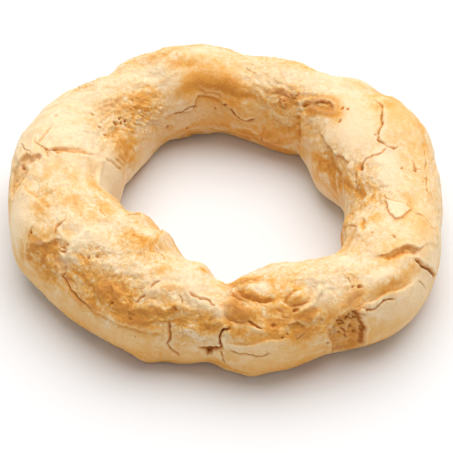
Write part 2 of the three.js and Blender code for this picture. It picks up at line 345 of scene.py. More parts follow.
# The first eight rows brown the lower outer side from ring 183 to 332, which faces the camera and away
# from the key light: partly toasting near the tray, partly painted shade.
TOASTED_AND_SHADE = [
    (205, -12, 0.22, 10, 5), (228, -22, 0.40, 12, 6), (250, -24, 0.42, 10, 6), (270, -26, 0.42, 10, 6),
    (290, -26, 0.40, 10, 6), (310, -22, 0.34, 10, 6), (332, -10, 0.24, 10, 6), (183, 2, 0.22, 10, 6),
    (95, 132, 0.45, 7.5, 2.0), (91, 137, 0.45, 6.0, 0.9), (89, 131, 0.22, 4, 2.0),
    (86, 128, 0.25, 2.5, 4.0), (95, 117, 0.36, 8, 4.5), (113, 80, 0.12, 9, 6), (106, 118, 0.25, 3, 6),
    (91, 140, 0.4, 3.5, 2), (91, 157, 0.3, 3, 2), (99, 150, 0.15, 6, 2), (139, 110, 0.30, 6, 2.4),
    (131, 120, 0.38, 5, 2.6), (146, 104, 0.40, 3, 2), (126, 128, 0.30, 3, 2), (123, 72, 0.45, 2, 1.2),
    (113, 78, 0.35, 2.5, 1.5), (110, 92, 0.30, 2, 2.5), (154, 99, 0.60, 1.4, 1.2),
    (158.5, 93, 0.45, 1.4, 1.0), (157, 107, 0.35, 1.6, 1.1), (152, 75, 0.25, 1, 4),
    (157, 150, 0.45, 4, 4), (150, 165, 0.30, 5, 4), (181, 91, 0.30, 4, 2.5), (185, 100, 0.25, 3, 1.5),
    (183, 127, 0.45, 4, 1.8), (198, 62, 0.35, 2.5, 1.5), (207, 103, 0.38, 4, 3), (200, 92, 0.25, 3, 2),
    (190, 118, 0.30, 3, 2), (186, 74, 0.25, 3, 1.2), (177, 67, 0.60, 1.5, 2.5), (180, 40, 0.35, 5, 4),
    (174, 96, 0.45, 1.5, 5), (207, 30, 0.60, 2.5, 2.5), (205.5, 16, 0.60, 1.5, 1.8),
    (210, 50, 0.45, 2.5, 2), (213, 25, 0.40, 5, 5), (218, 42, 0.35, 2, 2), (203, 40, 0.50, 1, 2),
    (221, 26, 1.0, 1.4, 2), (225.5, 18.5, 1.0, 3.5, 0.9), (230, 17, 0.9, 3, 1.2),
    (222, 50, 0.50, 2.5, 2.5), (225, 46, 0.40, 2, 2), (236, 47, 0.50, 6, 2.2), (236, 35, 0.45, 6, 2.5),
    (241, 26, 0.50, 4, 1.5), (243, 24, 0.40, 3, 1), (247, 45, 0.40, 3.5, 2.5), (250, 28, 0.40, 5, 2),
    (232, 52, 0.35, 3, 2), (235, 103, 0.38, 3.5, 2.2), (228, 108, 0.35, 1.5, 1),
    (247, 88, 0.45, 1.5, 1), (260, 113, 0.50, 1, 1), (251.5, 75, 0.60, 2, 1.6), (253.5, 54, 0.60, 1, 1),
    (251, 61, 0.40, 1, 1), (257, 39, 0.50, 3, 1.2), (263, 50, 0.40, 2.5, 1.6), (258, 58, 0.25, 3, 1.5),
    (265, 36, 0.35, 3, 1), (273, 88, 0.50, 2, 2), (277, 79, 0.6, 3.0, 1.0), (281, 74, 0.60, 2, 1.2),
    (271, 75, 0.4, 1.5, 2.5), (273, 62, 0.45, 3.0, 3.5), (280, 78, 0.12, 8, 6), (237, 38, 0.3, 9, 3),
    (210, 30, 0.3, 4, 4), (282, 80, 0.40, 2.5, 2), (275, 92, 0.5, 2.6, 1.8), (272.5, 97, 0.5, 2.2, 1.3),
    (272.5, 56, 0.5, 2.5, 2.0), (284, 88, 0.6, 1.0, 2.0), (277, 100, 0.5, 3, 0.8),
    (270.5, 66, 0.5, 1.2, 3.5), (281.7, 42, 0.80, 1.6, 1.8), (283, 52, 0.50, 2, 2),
    (290, 68, 0.75, 1.8, 1.8), (286, 57, 0.50, 2, 2.5), (289.5, 80, 0.35, 2, 1.5),
    (291, 45, 0.40, 3, 1.5), (274, 33, 0.35, 2, 0.8), (276, 27, 0.35, 3, 0.8), (288, 22, 0.35, 4, 2.5),
    (290, 28, 0.40, 4, 2.5), (293.5, 45, 0.50, 2, 1.5), (301, 16, 0.5, 3, 5), (303.5, 12, 0.9, 1.0, 6),
    (298, 28, 0.8, 3, 1.5), (306, 49, 0.60, 1, 1.3), (307, 70, 0.30, 1.5, 2), (318, 45, 0.42, 4, 1.5),
    (312, 44, 0.30, 5, 1.3), (304, 40, 0.40, 2, 2), (324.5, 45, 0.50, 1.5, 1.5),
    (322, 75, 0.50, 3, 1.6), (326, 67, 0.50, 1.2, 1.4), (350, 131, 0.55, 1.8, 2),
    (340.5, 133, 0.55, 1.2, 1), (346, 120, 0.30, 1.5, 1.5), (332, 110, 0.30, 2, 2),
    (3, 122, 0.80, 1, 1.2), (358, 147, 0.50, 2, 2), (355, 137, 0.40, 2, 1.5), (8, 170, 0.60, 3, 4),
    (15, 160, 0.40, 4, 3), (27, 172, 0.40, 4, 3), (333, 55, 0.35, 6, 4), (338, 70, 0.25, 3, 3),
    (345, 85, 0.25, 3, 1.5), (20, 65, 0.26, 9, 6), (12, 55, 0.20, 5, 3), (350, 50, 0.25, 8, 4),
    (28, 82, 0.35, 1, 2), (46, 112, 0.60, 2.5, 1.4), (43, 122, 1.0, 3.5, 2.0), (47, 126, 0.9, 2, 1.8),
    (38, 122, 0.7, 3, 1.5), (66, 112, 0.5, 2.5, 2), (62, 122, 0.4, 2, 2), (50, 128, 0.80, 1.4, 1.1),
    (57, 104, 0.6, 2, 1.6), (61, 107, 0.50, 2, 1.5), (60, 115, 0.50, 2, 1), (65, 118, 0.30, 2, 1.5),
    (60, 165, 0.2, 9, 8), (80, 185, 0.15, 12, 6), (100, 190, 0.2, 10, 4), (70, 195, 0.40, 8, 4),
]

# Several rows are painted highlights where the crust faces the light: on the crests at ring 352 and 0,
# the blisters at 100, 280 and 290, the lit patches at 165 and 230, the folds at 263 and 315, and the
# facet on the hole side at 176 to 180. The other rows are floury, pale skin.
PALE_AND_HIGHLIGHTS = [
    (168, 40, 0.7, 9, 8), (256, 82, 0.5, 5, 3), (303, 62, 0.25, 5, 5), (213, 84, 0.15, 4, 4),
    (345, 58, 0.4, 5, 4), (160, 70, 0.6, 14, 8), (150, 95, 0.4, 8, 5), (172, 108, 0.6, 6, 4),
    (192, 88, 0.2, 9, 6), (178, 60, 0.4, 5, 6), (120, 85, 0.3, 8, 4), (60, 92, 0.5, 10, 4),
    (216, 68, 0.9, 1.2, 5), (332, 45, 0.5, 5, 6), (325, 20, 0.4, 8, 6), (100, 84, 0.8, 5, 1.4),
    (118, 98, 0.8, 3, 2.5), (113, 112, 0.5, 2.5, 2.5), (135, 88, 0.4, 7, 3), (127, 97, 0.3, 4, 2.5),
    (165, 80, 0.7, 4, 4), (168, 95, 0.5, 3, 2), (180, 146, 1.0, 7, 3.5), (176, 158, 0.8, 4, 3),
    (217, 60, 0.8, 1.6, 5), (217, 74, 0.7, 1.6, 4), (214.5, 54, 0.7, 0.8, 0.5), (230, 70, 0.35, 4, 3),
    (240, 78, 0.3, 4, 2), (247, 68, 0.4, 2.5, 3), (250, 82, 0.25, 2, 2), (263, 66, 0.7, 3.5, 1.3),
    (267.5, 60, 0.9, 1.2, 1.6), (269, 92, 0.6, 1, 3), (257, 66, 0.5, 2.5, 1.5),
    (280, 88, 1.0, 1.6, 1.0), (277, 66, 0.4, 2, 0.8), (290, 71, 0.5, 1.2, 0.6), (293, 56, 0.6, 3, 0.6),
    (296.5, 64, 0.3, 0.8, 2.2), (292, 54, 0.4, 1.8, 0.7), (300, 62, 0.45, 4, 3), (302, 85, 0.2, 4, 3),
    (315, 62, 0.8, 5, 1.3), (310, 95, 0.4, 4, 2), (0, 95, 0.8, 6, 2), (352, 100, 0.6, 4, 2),
    (341, 95, 0.8, 2, 1.5), (331, 98, 0.5, 2, 1.2), (20, 110, 0.4, 6, 4), (40, 95, 0.4, 5, 3),
    (74, 105, 0.5, 4, 3), (85, 100, 0.4, 3, 2.5), (195, 30, 0.4, 5, 5), (183, 110, 0.1, 4, 3),
]

SCALY = [
    (276, 92, 0.6, 3.5, 2.5), (273, 60, 0.6, 3, 4), (235, 45, 1.0, 12, 6), (225, 65, 0.6, 5, 4),
    (255, 45, 0.9, 7, 4), (213, 30, 0.8, 5, 5), (140, 112, 0.9, 8, 4), (150, 125, 0.7, 6, 4),
    (62, 110, 0.9, 6, 3), (75, 110, 0.6, 8, 4), (190, 75, 0.4, 6, 4), (300, 75, 0.5, 6, 4),
    (355, 130, 0.7, 5, 4), (287, 35, 0.6, 5, 2), (15, 158, 0.8, 5, 3), (265, 45, 0.7, 3, 3),
    (130, 150, 0.6, 6, 5), (115, 80, 0.5, 5, 3), (230, 105, 0.4, 6, 3), (345, 115, 0.4, 6, 4),
    (60, 150, 0.5, 6, 4),
]

# Plates that stayed smooth.
SMOOTH = [
    (195, 30, 1.0, 6, 5), (210, -14, 1.0, 9, 5), (228, -10, 1.0, 9, 5), (244, -4, 1.0, 9, 5),
    (258, -16, 1.0, 8, 4), (300, -22, 0.8, 8, 3), (335, 2, 0.9, 8, 5), (282, 2, 1.0, 9, 5),
    (317, 5, 1.0, 10, 6), (20, 66, 0.9, 8, 5), (26, 122, 0.8, 8, 6), (333, 62, 0.8, 6, 5),
    (181, 150, 1.0, 6, 4), (166, 150, 0.5, 5, 5), (180, 100, 0.3, 5, 4), (0, 60, 0.4, 6, 5),
    (97, 126, 0.95, 8, 5), (100, 165, 0.7, 14, 4), (345, 60, 0.4, 6, 6), (25, 100, 0.6, 8, 6),
]

# Fine parallel wrinkles: ring, section, heading, spacing, depth, reach along, reach around.
WRINKLES = [
    (135, 140, 40, 1.1, 0.30, 6, 5),
    (124, 160, 55, 1.1, 0.26, 4, 4),
    (160, 155, 10, 1.3, 0.16, 4, 4),
    (141, 112, 75, 1.2, 0.16, 7, 2.5),
    (214, 28, 60, 1.0, 0.20, 4, 4),
    (237, 45, 70, 1.1, 0.14, 6, 3),
    (290, 22, 85, 1.4, 0.08, 6, 3),
    (316, 8, 88, 1.5, 0.05, 9, 5),
    (190, 80, 60, 1.3, 0.08, 7, 4),
    (178, 150, 5, 1.5, 0.10, 4, 3),
    (275, 62, 20, 1.1, 0.08, 3, 3),
    (60, 170, 15, 1.4, 0.10, 8, 6),
]

# Sides that face away: which ring angles and section angles each covers, and how many
# cracks, torn edges, pits, toasted dabs and pale dabs lie there.
QUIET_SIDES = [
    ((5, 175), (-50, 62), (16, 12, 14, 26, 20)),
    ((195, 345), (140, 225), (12, 9, 8, 22, 12)),
    ((0, 360), (-75, -35), (10, 6, 8, 20, 8)),
    ((60, 170), (205, 235), (3, 2, 3, 8, 3)),
]
QUIET_SEED = 41

# ---------------------------------------------------------------------------
# Arithmetic on the skin
# ---------------------------------------------------------------------------

GRID_STEPS = (1300, 360)  # points along the ring and around the section
SHOWN_FACES = 192000  # triangles in the finished mesh
NOISE_GAIN = 1.6  # brings the noise to about -1 to 1
LEAST_REACH = 22.0  # mm from the ring's axis to the nearest skin, about
LEAST_GIRTH = 9.0  # mm from the middle of the rope to its nearest skin, about


def wrapped(angle):
    """An angle in degrees brought to between -180 and 180."""
    return (angle + TURN / 2) % TURN - TURN / 2


def eased(value):
    """0 below 0, 1 above 1, and a smooth climb between."""
    held = np.clip(value, 0.0, 1.0)
    return held * held * (3.0 - 2.0 * held)


def bell(distance, reach):
    """1 at no distance, fading out over the reach."""
    return np.exp(-((distance / reach) ** 2))


def dough_noise(points, cell, seed):
    """Smooth noise, about -1 to 1, with one lump or dip to each cell of that many millimetres."""
    draws = np.random.default_rng(seed)
    order = draws.permutation(256)
    slopes = draws.normal(size=(256, 3))
    slopes /= np.linalg.norm(slopes, axis=1, keepdims=True)
    scaled = points / cell
    low = np.floor(scaled).astype(int)
    inside = scaled - low
    blend = inside**3 * (inside * (inside * 6.0 - 15.0) + 10.0)
    total = 0.0
    for corner in itertools.product((0, 1), repeat=3):
        key = 0
        for axis in range(3):
            key = order[(key + low[..., axis] + corner[axis]) % 256]
        weight = np.prod(np.where(corner, blend, 1.0 - blend), axis=-1)
        total = total + weight * ((inside - corner) * slopes[key]).sum(axis=-1)
    return total * NOISE_GAIN


def rope_at(ring):
    """Centre radius, half width and half height at each ring angle, on a smooth closed curve."""
    angles = np.array(sorted(ROPE_STATIONS), float)
    values = np.array([ROPE_STATIONS[int(a)] for a in angles])
    count = len(angles)
    step = TURN / count
    at = (ring % TURN) / step
    first = np.floor(at).astype(int)
    u = (at - first)[..., None]
    before, here, after, beyond = (values[(first + k) % count] for k in (-1, 0, 1, 2))
    return 0.5 * (
        2.0 * here
        + (after - before) * u
        + (2.0 * before - 5.0 * here + 4.0 * after - beyond) * u**2
        + (3.0 * here - before - 3.0 * after + beyond) * u**3
    )


class Skin:
    """The crust as a grid: where each point lies, how far it is raised and how it is baked."""

    # The toasted and crumb tints also carry painted shade, and the pale tint carries painted highlights.
    # The last two steer the toasting: where it is even, and where it runs in streaks.
    TINTS = ("toasted", "pale", "crumb", "scaly", "smooth", "streaks")
    STRETCH = 3.0  # how many times longer along the ring than around it a streak is
    CURL = 1.6  # mm that the streaks bend from side to side

    def __init__(self, ring_steps, section_steps):
        self.ring = np.arange(ring_steps) * TURN / ring_steps
        self.section = np.arange(section_steps) * TURN / section_steps
        centre, width, height = (v[:, None] for v in np.moveaxis(rope_at(self.ring), -1, 0))
        turn = np.radians(self.section)[None, :]
        power = 2.0 / SECTION_SQUARENESS
        across = width * np.sign(np.cos(turn)) * np.abs(np.cos(turn)) ** power
        upward = height * np.sign(np.sin(turn)) * np.abs(np.sin(turn)) ** power
        slant = np.hypot(np.cos(turn) / width, np.sin(turn) / height)
        self.out_across = np.cos(turn) / width / slant
        self.out_up = np.sin(turn) / height / slant
        self.reach = centre + across
        self.girth = np.broadcast_to((width + height) / 2, self.reach.shape)
        self.level = height - TRAY_SINK + upward
        self.rise = np.zeros(self.reach.shape)
        for swell in BROAD_SWELLS:
            self.swell(*swell)
        self.base = self.placed()
        corners = self.base.reshape(-1, 3)
        self.shift = -(corners.min(axis=0) + corners.max(axis=0)) / 2 * (1, 1, 0)
        self.tints = {name: np.zeros(self.reach.shape) for name in self.TINTS}
        self.drift = [self.layered(STRAY_LAYERS, later) for later in (0, 1)]
        self.curl = np.stack([self.noise(4.0, seed) for seed in (71, 72, 73)], axis=-1)
        self.drawn_out = self.stretched() + self.CURL * self.curl
        self.ragged = self.noise(1.1, 31)
        self.porous = self.noise(0.9, 32)

    def noise(self, cell, seed):
        """Noise over the unbroken skin."""
        return dough_noise(self.base, cell, seed)

    def layered(self, layers, later=0):
        """Layers of noise added up, with later seeds for another field of the same kind."""
        return sum(height * self.noise(size, seed + later) for size, seed, height in layers)

    def stretched(self):
        """Places in which lengths along the ring count for less, for marks that run along it."""
        turn = np.radians(self.ring)[:, None]
        around = np.radians((self.section + TURN / 4) % TURN)[None, :] * self.girth
        flat = self.reach / self.STRETCH
        return np.stack([flat * np.cos(turn), flat * np.sin(turn), around], axis=-1)

    def swell(self, ring, section, rise, along, around):
        """Raises the dough round one spot."""
        gap_along = np.radians(wrapped(self.ring - ring))[:, None] * self.reach
        gap_around = np.radians(wrapped(self.section - section))[None, :] * self.girth
        self.rise += rise * bell(gap_along, along) * bell(gap_around, around)

    def placed(self):
        """Each point's place in millimetres, resting on the tray."""
        turn = np.radians(self.ring)[:, None]
        radius = self.reach + self.rise * self.out_across
        height = np.maximum(self.level + self.rise * self.out_up, 0.0)
        return np.stack([radius * np.cos(turn), radius * np.sin(turn), height], axis=-1)

    def tint(self, name, index, amount):
        """Lays more of a tint over what is there."""
        field = self.tints[name]
        field[index] = 1.0 - (1.0 - field[index]) * (1.0 - np.clip(amount, 0.0, 1.0))


class Patch:
    """The part of the skin near a path, with distances to it measured along the skin."""

    def __init__(self, skin, path, margin):
        rings = path[0][0] + wrapped(np.array([p[0] for p in path]) - path[0][0])
        sections = path[0][1] + wrapped(np.array([p[1] for p in path]) - path[0][1])
        ring_mid = (rings.min() + rings.max()) / 2
        section_mid = (sections.min() + sections.max()) / 2
        ring_half = np.ptp(rings) / 2 + math.degrees(margin / LEAST_REACH)
        section_half = np.ptp(sections) / 2 + math.degrees(margin / LEAST_GIRTH)
        ring_gap = wrapped(skin.ring - ring_mid)
        section_gap = wrapped(skin.section - section_mid)
        rows = np.flatnonzero(np.abs(ring_gap) <= ring_half)
        columns = np.flatnonzero(np.abs(section_gap) <= section_half)
        self.index = np.ix_(rows, columns)
        self.along_unit = np.radians(1.0) * skin.reach[self.index]
        self.around_unit = np.radians(1.0) * skin.girth[self.index]
        self.ring = ring_gap[rows][:, None] + skin.drift[0][self.index] / self.along_unit
        self.section = section_gap[columns][None, :] + skin.drift[1][self.index] / self.around_unit
        self.corners = list(zip(rings - ring_mid, sections - section_mid))

    def offset(self, corner):
        """How far a corner lies from each point, in millimetres along and around."""
        return (
            (corner[0] - self.ring) * self.along_unit,
            (corner[1] - self.section) * self.around_unit,
        )

    def sides(self, closed=False):
        """The straight sides of the path, as offsets from each point."""
        ends = self.corners + self.corners[:1] if closed else self.corners
        for start, end in itertools.pairwise(ends):
            yield self.offset(start), self.offset(end)

    def walk(self, closed=False):
        """Distance to the path, which side each point is on (left is 1) and its share of the way."""
        nearest = np.full(self.along_unit.shape, np.inf)
        side = np.zeros(self.along_unit.shape)
        share = np.zeros(self.along_unit.shape)
        for number, ((x, y), (x_end, y_end)) in enumerate(self.sides(closed)):
            run, climb = x_end - x, y_end - y
            t = np.clip(-(x * run + y * climb) / (run**2 + climb**2 + 1e-9), 0.0, 1.0)
            gap = np.hypot(x + t * run, y + t * climb)
            closer = gap < nearest
            nearest = np.where(closer, gap, nearest)
            side = np.where(closer, np.sign(climb * x - run * y), side)
            share = np.where(closer, number + t, share)
        return nearest, side, share / (len(self.corners) - 1)

    def depth_inside(self):
        """Distance in from the outline, and below 0 outside it."""
        within = np.zeros(self.along_unit.shape, bool)
        for (x, y), (x_end, y_end) in self.sides(closed=True):
            crosses = (y > 0) != (y_end > 0)
            slope = np.where(crosses, (x_end - x) / np.where(crosses, y_end - y, 1.0), 0.0)
            within ^= crosses & (x - y * slope > 0)
        nearest = self.walk(closed=True)[0]
        return np.where(within, nearest, -nearest)


def tapered(share, run_in=0.16):
    """Fades a line in and out towards its two ends."""
    return eased(np.minimum(share, 1.0 - share) / run_in + 0.15)


# ---------------------------------------------------------------------------
# What baking does to the skin
# ---------------------------------------------------------------------------


def tear_edge(skin, lift, reach, path):
    """A plate that has lifted along its torn edge, above the one beside it. Painted shade lies under the
    lifted edge and on the lower plate beside it, and a painted highlight along the raised lip.
    """
    patch = Patch(skin, path, reach * 2.5)
    gap, side, share = patch.walk()
    fade = tapered(share)
    signed = gap * side
    raised = eased((signed + 0.06) / 0.12) * np.exp(-np.maximum(signed, 0.0) / reach)
    undercut = np.where(signed < 0.06, np.exp(-gap / 0.28), 0.0)
    skin.rise[patch.index] += lift * fade * (0.8 * raised - 0.3 * undercut)
    # Painted shade under the lifted edge, in the crumb colour.
    skin.tint("crumb", patch.index, 0.5 * fade * bell(signed + 0.06, 0.13) * min(1.0, lift + 0.3))
    # Painted shade on the lower plate beside the edge, laid in as toasting.
    skin.tint("toasted", patch.index, 0.2 * fade * np.where(side < 0, np.exp(-gap / 1.0), 0.0))
    # Painted highlight along the raised lip.
    skin.tint("pale", patch.index, 0.35 * fade * bell(signed - 0.4, 0.35))


def open_crack(skin, width, depth, path):
    """A crack in the dry skin, with its two lips curled up a little. Its crumb colour darkens with depth
    as painted shade, and its lips carry a painted highlight.
    """
    patch = Patch(skin, path, 3.0)
    gap, _, share = patch.walk()
    fade = tapered(share, 0.12)
    wide = 0.26 * width * (1.0 + 0.45 * skin.ragged[patch.index])
    cut = bell(gap, wide + 0.05)
    lips = bell(gap - 2.4 * wide - 0.12, wide + 0.12)
    skin.rise[patch.index] += fade * depth * (0.14 * lips - 0.6 * cut)
    # Crumb colour in the crack, darker the deeper the crack: partly crumb, partly painted shade.
    skin.tint("crumb", patch.index, fade * cut * min(0.9, 0.35 + 0.35 * depth))
    # Painted highlight on the curled lips.
    skin.tint("pale", patch.index, 0.25 * fade * lips)


def press_fold(skin, width, depth, path):
    """A smooth crease where the dough folds on itself, or a ridge where the depth is negative. A crease
    is darkened with painted shade, laid in as toasting.
    """
    patch = Patch(skin, path, 4.0)
    gap, _, share = patch.walk()
    fade = tapered(share)
    skin.rise[patch.index] -= fade * depth * bell(gap, width)
    # Painted shade in the crease, laid in as toasting.
    if depth > 0:
        skin.tint("toasted", patch.index, 0.5 * fade * bell(gap, 0.8 * width))


def open_hollow(skin, depth, crumb_and_shade, outline):
    """A place where the skin has broken away and the spongy crumb shows, darkened as painted shade of
    the hollow and its pores, with a painted highlight on its raised rim.
    """
    patch = Patch(skin, outline, 3.0)
    inside = patch.depth_inside()
    floor = eased((inside + 0.1) / (0.35 + 0.35 * depth))
    sponge = skin.porous[patch.index]
    skin.rise[patch.index] -= depth * floor + 0.42 * floor * np.maximum(sponge, -0.3)
    skin.rise[patch.index] += 0.12 * bell(inside + 0.5, 0.4)
    # Crumb colour on the floor of the hollow, darker in the pores: partly crumb, partly painted shade.
    skin.tint("crumb", patch.index, floor * (crumb_and_shade + 0.18 * sponge))
    # Painted highlight on the raised rim round the hollow.
    skin.tint("pale", patch.index, 0.25 * bell(inside + 0.6, 0.4))


def lift_flake(skin, height, outline):
    """A thin flake of skin that stands above what is round it, with a painted shadow round its foot."""
    patch = Patch(skin, outline, 3.0)
    inside = patch.depth_inside()
    skin.rise[patch.index] += height * eased((inside + 0.1) / 0.3) * np.exp(-np.maximum(inside, 0) / 5.0)
    under = np.where(inside < 0.05, bell(inside, 0.35), 0.0)
    skin.rise[patch.index] -= 0.3 * height * under
    # Painted shadow round the foot of the flake, in the crumb colour.
    skin.tint("crumb", patch.index, 0.55 * under)
    skin.tint("pale", patch.index, 0.5 * eased(inside / 0.3))


def prick_pit(skin, ring, section, size, depth):
    """A burst bubble, its cup darkened in the crumb colour: partly crumb, partly painted shade."""
    patch = Patch(skin, [(ring, section)], 3.0)
    gap = np.hypot(*patch.offset(patch.corners[0]))
    cup = eased(1.25 - gap / size)
    skin.rise[patch.index] += depth * (0.15 * bell(gap - 1.3 * size, 0.5 * size) - cup)
    # Crumb colour in the cup of the pit: partly crumb, partly painted shade.
    skin.tint("crumb", patch.index, 0.6 * cup)


def dab(skin, name, ring, section, amount, along, around):
    """A soft dab of one tint."""
    patch = Patch(skin, [(ring, section)], 2.4 * max(along, around))
    gap_along, gap_around = patch.offset(patch.corners[0])
    blot = bell(gap_along, along) * bell(gap_around, around)
    skin.tint(name, patch.index, amount * blot)


def ruffle(skin, ring, section, heading, spacing, depth, along, around):
    """Fine wrinkles that run side by side, with steep and gentle flanks. Their troughs are darkened with
    painted shade, laid in as toasting.
    """
    patch = Patch(skin, [(ring, section)], 2.4 * max(along, around))
    gap_along, gap_around = patch.offset(patch.corners[0])
    turn = math.radians(heading)
    across = gap_along * math.cos(turn) + gap_around * math.sin(turn)
    wave = (across / spacing + 0.5 * skin.ragged[patch.index]) % 1.0
    scale = np.where(wave < 0.8, wave / 0.8, (1.0 - wave) / 0.2)
    blot = bell(gap_along, along) * bell(gap_around, around)
    skin.rise[patch.index] += depth * blot * (scale - 0.5)
    # Painted shade in the troughs of the wrinkles, laid in as toasting.
    skin.tint("toasted", patch.index, 0.8 * depth * blot * (1.0 - scale))


# Levels of the noise at which a flaky layer ends, and pillows between creases: size, height.
LAYER_EDGES = (-0.35, -0.05, 0.25, 0.5)
PILLOWS = ((7.0, 0.75), (3.2, 0.32))


def crackle(skin):
    """Curled flaky layers and a net of creases where the skin is scaly, and the streaks of toasting. The
    foot of each layer, the valleys between pillows and the creases of the net get painted shade, laid in
    as toasting.
    """
    crown = eased((np.sin(np.radians(skin.section)) + 0.15) / 0.6)[None, :]
    scaly = np.clip(skin.tints["scaly"] + 0.12 + 0.3 * crown, 0.0, 1.0) * (1.0 - skin.tints["smooth"])
    skin.tints["scaly"] = scaly
    curled = skin.base + 1.3 * skin.curl
    layers = dough_noise(skin.drawn_out, 2.4, 51) + 0.4 * dough_noise(curled, 1.2, 52)
    for height in LAYER_EDGES:
        skin.rise += 0.17 * scaly * (eased((layers - height) / 0.1) - 0.5)
        # Painted shade at the foot of each layer's edge.
        brim = bell(layers - height + 0.03, 0.06)
        skin.tint("toasted", np.s_[:], 0.16 * scaly * brim)
    for size, height in PILLOWS:
        pillow = np.abs(dough_noise(curled, size, 53))
        skin.rise += height * scaly * (np.minimum(pillow, 0.6) - 0.3)
        # Painted shade in the valleys between the pillows.
        skin.tint("toasted", np.s_[:], 0.22 * scaly * bell(pillow, 0.045))
    net = bell(dough_noise(skin.drawn_out, 1.5, 54), 0.08)
    skin.rise -= 0.08 * scaly * net
    # Painted shade in the creases of the net.
    skin.tint("toasted", np.s_[:], 0.14 * scaly * net)
    skin.rise += 0.09 * scaly * skin.noise(0.95, 55)
    fine = dough_noise(skin.drawn_out, 0.8, 82)
    skin.tints["streaks"] = 0.65 * dough_noise(skin.drawn_out, 2.2, 81) + 0.45 * fine


def wander(draws, ring, section, steps, stride):
    """A path that strays as a crack does."""
    heading = draws.uniform(0.0, TURN)
    path = [(ring, section)]
    for _ in range(steps):
        heading += draws.normal(0.0, 20.0)
        ring += stride * math.cos(math.radians(heading)) * 1.5
        section += stride * math.sin(math.radians(heading)) * 5.0
        path.append((ring, section))
    return path


def weather(skin, rings, sections, counts, draws):
    """Cracks, torn edges, pits and browning on a side that has none of its own in the tables."""
    cracks, edges, pits, toasted, pale = counts

    def spot():
        return draws.uniform(*rings), draws.uniform(*sections)

    for _ in range(cracks):
        path = wander(draws, *spot(), steps=5, stride=1.6)
        open_crack(skin, draws.uniform(0.3, 0.5), draws.uniform(0.4, 1.0), path)
    for _ in range(edges):
        path = wander(draws, *spot(), steps=6, stride=2.0)
        tear_edge(skin, draws.uniform(0.4, 0.8), draws.uniform(2.5, 5.0), path)
    for _ in range(pits):
        prick_pit(skin, *spot(), draws.uniform(0.3, 0.55), draws.uniform(0.4, 0.8))
    for _ in range(toasted):
        dab(skin, "toasted", *spot(), draws.uniform(0.15, 0.45), *draws.uniform((3, 1.5), (9, 4)))
    for _ in range(pale):
        dab(skin, "pale", *spot(), draws.uniform(0.3, 0.6), *draws.uniform((2, 1.5), (7, 3)))
    for _ in range(toasted // 4):
        dab(skin, "scaly", *spot(), 0.6, 5.0, 4.0)


def baked_skin(relief):
    """The skin with everything that the oven did to it."""
    skin = Skin(*GRID_STEPS)
    smooth = skin.rise.copy()
    skin.rise += skin.layered(LUMP_LAYERS)
    for swell in FINE_SWELLS + RIM_SWELLS:
        skin.swell(*swell)
    for name, dabs in (("toasted", TOASTED_AND_SHADE), ("pale", PALE_AND_HIGHLIGHTS), ("scaly", SCALY), ("smooth", SMOOTH)):
        for spot in dabs:
            dab(skin, name, *spot)
    draws = np.random.default_rng(QUIET_SEED)
    for rings, sections, counts in QUIET_SIDES:
        weather(skin, rings, sections, counts, draws)
    for make, table in (
        (ruffle, WRINKLES),
        (press_fold, FOLDS),
        (tear_edge, TORN_EDGES),
        (lift_flake, FLAKES),
        (open_hollow, HOLLOWS),
        (open_crack, CRACKS),
        (prick_pit, PITS),
    ):
        for row in table:
            make(skin, *row)
    crackle(skin)
    skin.rise = smooth + relief * (skin.rise - smooth)
    return skin


# ---------------------------------------------------------------------------
# Mesh
# ---------------------------------------------------------------------------


def skin_mesh(skin):
    """One closed mesh of the skin, with its tints as point attributes and a flat layout of it."""
    rows, columns = skin.rise.shape
    points = (skin.placed() + skin.shift) * MM
    row, column = np.divmod(np.arange(rows * columns), columns)
    next_row, next_column = (row + 1) % rows, (column + 1) % columns
    corners = np.stack(
        [
            row * columns + column,
            next_row * columns + column,
            next_row * columns + next_column,
            row * columns + next_column,
        ],
        axis=1,
    )
    mesh = bpy.data.meshes.new(PIECE)
    mesh.vertices.add(rows * columns)
    mesh.vertices.foreach_set("co", points.astype(np.float32).ravel())
    mesh.loops.add(corners.size)
    mesh.loops.foreach_set("vertex_index", corners.astype(np.int32).ravel())
    mesh.polygons.add(len(corners))
    mesh.polygons.foreach_set("loop_start", np.arange(0, corners.size, 4, dtype=np.int32))
    mesh.update(calc_edges=True)
    mesh.polygons.foreach_set("use_smooth", np.ones(len(corners), bool))
    across = np.stack([row, row + 1, row + 1, row], axis=1) / rows
    up = np.stack([column, column, column + 1, column + 1], axis=1) / columns
    layout = mesh.uv_layers.new(name="OFBake")
    layout.data.foreach_set("uv", np.stack([across, up], axis=-1).astype(np.float32).ravel())
    for name, field in skin.tints.items():
        attribute = mesh.attributes.new(name, "FLOAT", "POINT")
        attribute.data.foreach_set("value", field.astype(np.float32).ravel())
    mesh.validate()
    return mesh


def thinned(piece, faces):
    """Takes the mesh down to about that many triangles where it is flattest."""
    have = sum(len(p.vertices) - 2 for p in piece.data.polygons)
    if have <= faces:
        return
    modifier = piece.modifiers.new("thin", "DECIMATE")
    modifier.ratio = faces / have
    shown = piece.evaluated_get(bpy.context.evaluated_depsgraph_get())
    thin = bpy.data.meshes.new_from_object(shown)
    piece.modifiers.clear()
    piece.data = thin
    thin.polygons.foreach_set("use_smooth", np.ones(len(thin.polygons), bool))


# ---------------------------------------------------------------------------
# Materials
# ---------------------------------------------------------------------------


def linear(text):
    """A colour written as sRGB hex, on the sRGB curve turned to the shader's linear values."""
    parts = [int(text[k : k + 2], 16) / 255.0 for k in (1, 3, 5)]
    return [p / 12.92 if p <= 0.04045 else ((p + 0.055) / 1.055) ** 2.4 for p in parts]


def per_size(millimetres):
    """The scale that gives a pattern one repeat in that many millimetres."""
    return 1.0 / (millimetres * MM)


